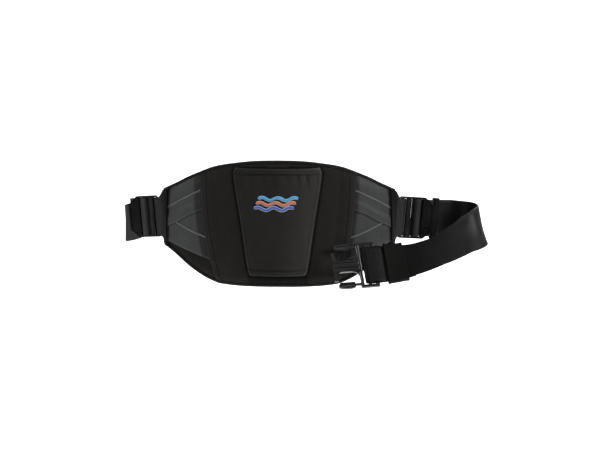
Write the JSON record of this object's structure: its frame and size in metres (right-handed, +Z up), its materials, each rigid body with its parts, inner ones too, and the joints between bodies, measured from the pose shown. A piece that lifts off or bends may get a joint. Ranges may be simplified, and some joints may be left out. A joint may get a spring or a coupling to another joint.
{
  "type": "wading belt",
  "caption": "Curved padded lumbar belt with a net sleeve on its back, elastic wings, ladder locks and webbing straps ending in side-release buckle halves, shown open.",
  "frame": {"origin": "middle of the pad's inner face, where it meets the wearer's lower back", "axes": "+X to the right of the outer face, +Y from the outer face towards the wearer, +Z up"},
  "size_m": [0.4918, 0.1367, 0.1641],
  "materials": {
    "pad_cloth": "matt woven cloth over foam",
    "panel_cloth": "matt woven cloth",
    "sleeve_cloth": "matt woven cloth",
    "elastic": "satin knitted elastic",
    "webbing": "low-sheen woven webbing",
    "buckle_plastic": "moulded, glossy"
  },
  "bodies": {
    "root": {"lumbar_pad": "pad_cloth", "centre_panel": "panel_cloth", "net_sleeve": "sleeve_cloth", "upper_band_left": "elastic", "upper_band_right": "elastic", "lower_band_left": "elastic", "lower_band_right": "elastic", "neck_loop_left": "webbing", "neck_loop_right": "webbing", "ladder_lock_left": "buckle_plastic", "ladder_lock_right": "buckle_plastic", "strap_left": "webbing", "strap_right": "webbing", "keeper_right": "webbing", "keeper_front": "webbing", "buckle_male": "buckle_plastic", "buckle_female": "buckle_plastic"}
  },
  "joints": []
}
